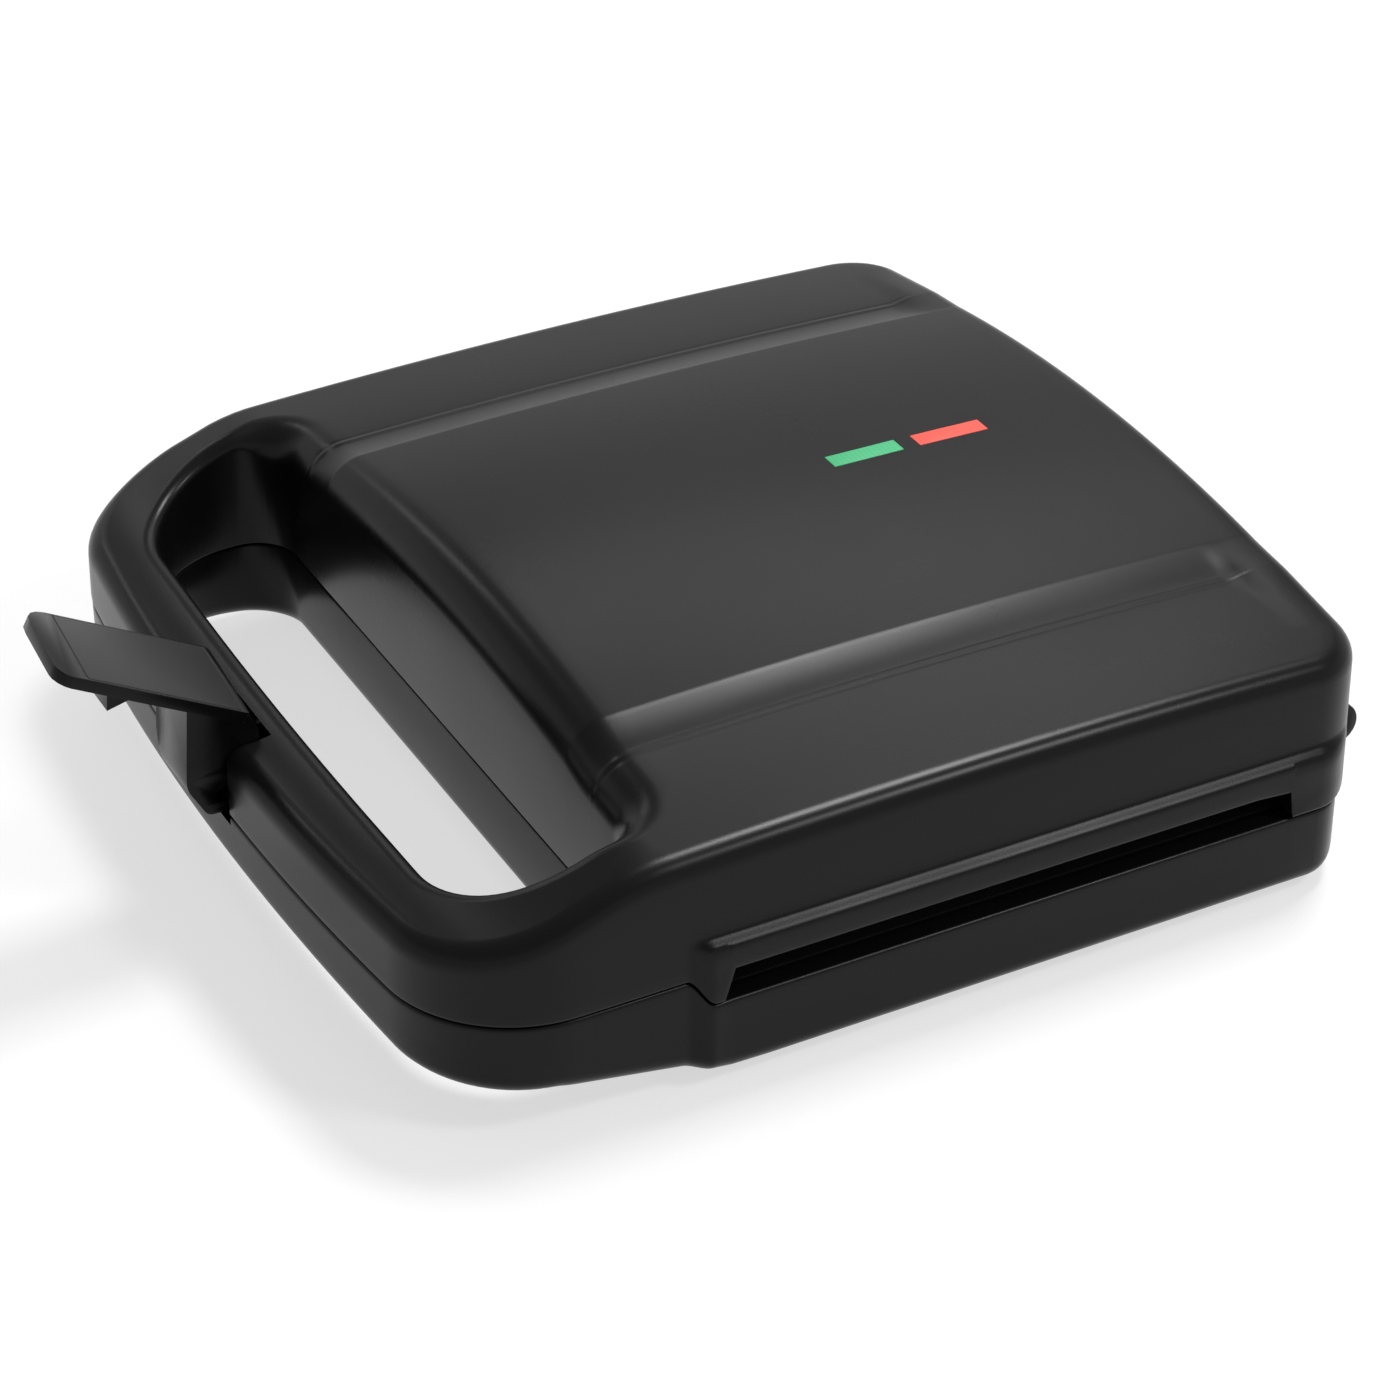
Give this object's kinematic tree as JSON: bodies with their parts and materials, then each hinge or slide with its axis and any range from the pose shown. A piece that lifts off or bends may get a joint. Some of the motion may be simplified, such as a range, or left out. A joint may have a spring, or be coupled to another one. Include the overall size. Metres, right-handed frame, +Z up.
{
  "type": "sandwich toaster",
  "caption": "Sandwich toaster with a hinged lid over coated pocketed plates, a looped handle with a hooked latch, side vent slots and indicator lenses.",
  "frame": {"origin": "on the table, below the middle of the toaster's overall box with its latch and hinges", "axes": "+Z up, -Y towards the handle and latch, +X to the right of someone who faces the handle from the front"},
  "size_m": [0.234, 0.2942, 0.0779],
  "materials": {
    "black_plastic": "satin",
    "grey_plastic": "satin",
    "frame_plastic": "matte",
    "plate_coating": "satin non-stick coating",
    "element_steel": "matte oxidised",
    "plated_steel": "satin",
    "shield_steel": "bright rolled",
    "green_plastic": "gloss",
    "red_plastic": "gloss",
    "green_glass": "clear",
    "red_glass": "clear",
    "pale_plastic": "matte",
    "foot_rubber": "matte"
  },
  "bodies": {
    "base": {"lower_shell": "black_plastic", "lower_frame": "frame_plastic", "lower_plate": "plate_coating", "lower_element": "element_steel", "lower_element_clips": "plated_steel", "lower_heat_shield": "shield_steel", "lower_plate_screws": "plated_steel", "base_screws": "plated_steel", "thermostat": "plated_steel", "thermal_fuse": "plated_steel", "terminal_block": "pale_plastic", "cord_gland": "black_plastic", "foot_front_left": "foot_rubber", "foot_front_right": "foot_rubber", "foot_rear_left": "foot_rubber", "foot_rear_right": "foot_rubber"},
    "lid": {"upper_shell": "black_plastic", "upper_frame": "frame_plastic", "upper_plate": "plate_coating", "upper_element": "element_steel", "upper_element_clips": "plated_steel", "upper_heat_shield": "shield_steel", "upper_plate_screws": "plated_steel", "lid_screws": "plated_steel", "green_lens": "green_plastic", "red_lens": "red_plastic", "lamp_holder": "pale_plastic", "green_lamp": "green_glass", "red_lamp": "red_glass", "hinge_pin_left": "plated_steel", "hinge_pin_right": "plated_steel", "latch_pin": "plated_steel", "latch_spring": "plated_steel"},
    "latch": {"latch_lever": "black_plastic", "latch_inset": "grey_plastic"}
  },
  "joints": [
    {"name": "lid_hinge", "type": "hinge", "parent": "base", "child": "lid", "pos_m": [0, 0.142, 0.026], "axis": [-1, 0, 0], "range_deg": [0, 100]},
    {"name": "latch_pivot", "type": "hinge", "parent": "lid", "child": "latch", "pos_m": [0, -0.0995, 0.0405], "axis": [-1, 0, 0], "range_deg": [0, 18], "stiffness_Nm_per_rad": 0.06, "springref_deg": -11.46}
  ]
}
